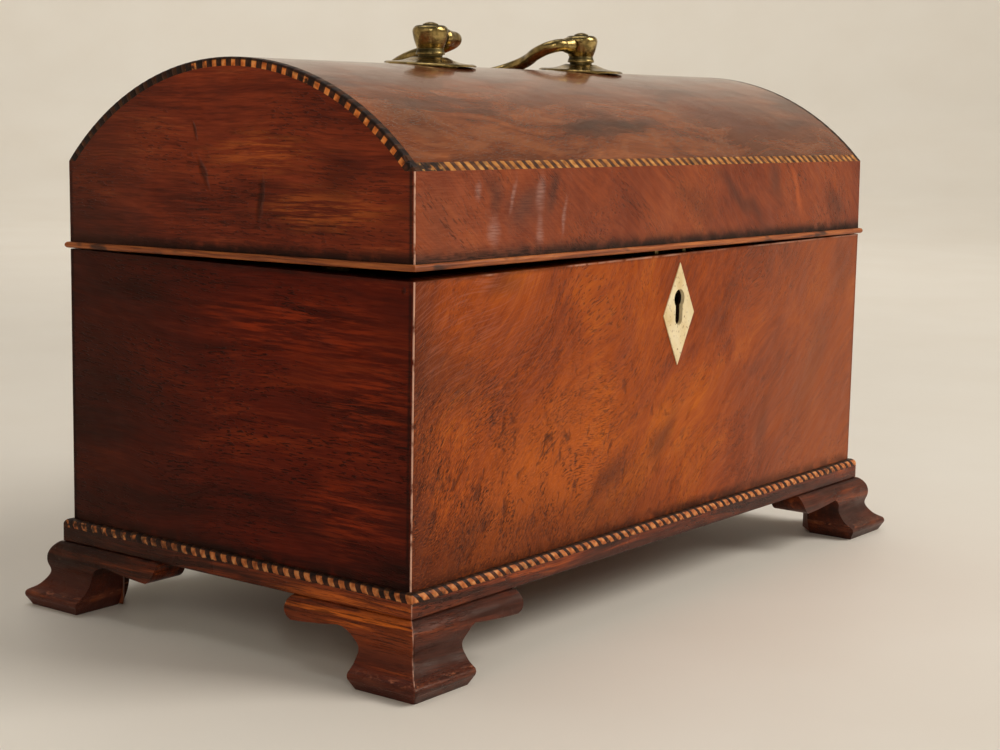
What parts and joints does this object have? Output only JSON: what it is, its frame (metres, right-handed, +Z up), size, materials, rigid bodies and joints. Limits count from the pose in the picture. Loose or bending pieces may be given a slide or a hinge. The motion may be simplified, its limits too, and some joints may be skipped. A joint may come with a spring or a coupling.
{
  "type": "antique tea caddy",
  "caption": "Mahogany tea caddy with a hinged domed lid, chequer stringing, ogee bracket feet, brass bail handle and box lock.",
  "frame": {"origin": "on the supporting surface, below the middle of the case", "axes": "+X along the front to the right, +Y from front to back, +Z up"},
  "size_m": [0.2714, 0.1544, 0.1778],
  "materials": {
    "mahogany_front": "figured warm orange-brown veneer, waxed, finely pitted",
    "mahogany": "dark red-brown, waxed, straight grain",
    "mahogany_dome": "brown, french polished, glossy",
    "mahogany_feet": "dark red-brown with orange streaks, worn edges",
    "mahogany_inside": "dry unpolished mahogany",
    "chequer_string": "chequered boxwood and ebony blocks",
    "boxwood_bead": "orange boxwood, waxed",
    "brass": "aged, darker in recesses",
    "bone": "polished bone with fine specks"
  },
  "bodies": {
    "case": {"front_board": "mahogany_front", "back_board": "mahogany", "left_board": "mahogany", "right_board": "mahogany", "bottom_board": "mahogany_inside", "divider_left": "mahogany_inside", "divider_right": "mahogany_inside", "tea_lid_ledges": "mahogany_inside", "foot_glue_blocks": "mahogany_inside", "plinth_front": "mahogany_feet", "plinth_string_front": "chequer_string", "plinth_back": "mahogany_feet", "plinth_string_back": "chequer_string", "plinth_left": "mahogany_feet", "plinth_string_left": "chequer_string", "plinth_right": "mahogany_feet", "plinth_string_right": "chequer_string", "front_left_foot_front": "mahogany_feet", "front_left_foot_side": "mahogany_feet", "front_right_foot_front": "mahogany_feet", "front_right_foot_side": "mahogany_feet", "back_left_foot_back": "mahogany_feet", "back_left_foot_side": "mahogany_feet", "back_right_foot_back": "mahogany_feet", "back_right_foot_side": "mahogany_feet", "lock_case": "brass", "lock_face_plate": "brass", "hinge_pins": "brass", "hinge_left_case_leaf": "brass", "hinge_right_case_leaf": "brass", "escutcheon": "bone"},
    "lid": {"lid_front_rail": "mahogany_front", "lid_back_rail": "mahogany", "lid_left_end": "mahogany", "lid_right_end": "mahogany", "lid_dome": "mahogany_dome", "lid_bead_front": "boxwood_bead", "lid_bead_back": "boxwood_bead", "lid_bead_left": "boxwood_bead", "lid_bead_right": "boxwood_bead", "lid_string_front": "chequer_string", "lid_string_back": "chequer_string", "lid_string_left": "chequer_string", "lid_string_right": "chequer_string", "hinge_left_lid_leaf": "brass", "hinge_right_lid_leaf": "brass", "lock_strike_plate": "brass", "handle_plate_left": "brass", "handle_plate_right": "brass", "handle_post_left": "brass", "handle_post_right": "brass", "handle_nuts": "brass"},
    "bail": {"bail_handle": "brass"},
    "lock_bolt": {"lock_bolt": "brass"},
    "tea_lid_left": {"tea_lid_left": "mahogany_inside", "tea_lid_left_knob": "bone"},
    "tea_lid_right": {"tea_lid_right": "mahogany_inside", "tea_lid_right_knob": "bone"}
  },
  "joints": [
    {"name": "lid_hinge", "type": "hinge", "parent": "case", "child": "lid", "pos_m": [0, 0.0692, 0.10865], "axis": [-1, 0, 0], "range_deg": [0, 97]},
    {"name": "bail_swing", "type": "hinge", "parent": "lid", "child": "bail", "pos_m": [0.00121, -0.00114, 0.17287], "axis": [1, -0.0001, -0.0096], "range_deg": [0, 220.77]},
    {"name": "lock_bolt_slide", "type": "slide", "parent": "case", "child": "lock_bolt", "axis": [1, 0, 0], "range_m": [0, 0.0036]},
    {"name": "tea_lid_left_lift", "type": "slide", "parent": "case", "child": "tea_lid_left", "axis": [0, 0, 1], "range_m": [0, 0.02]},
    {"name": "tea_lid_right_lift", "type": "slide", "parent": "case", "child": "tea_lid_right", "axis": [0, 0, 1], "range_m": [0, 0.02]}
  ]
}
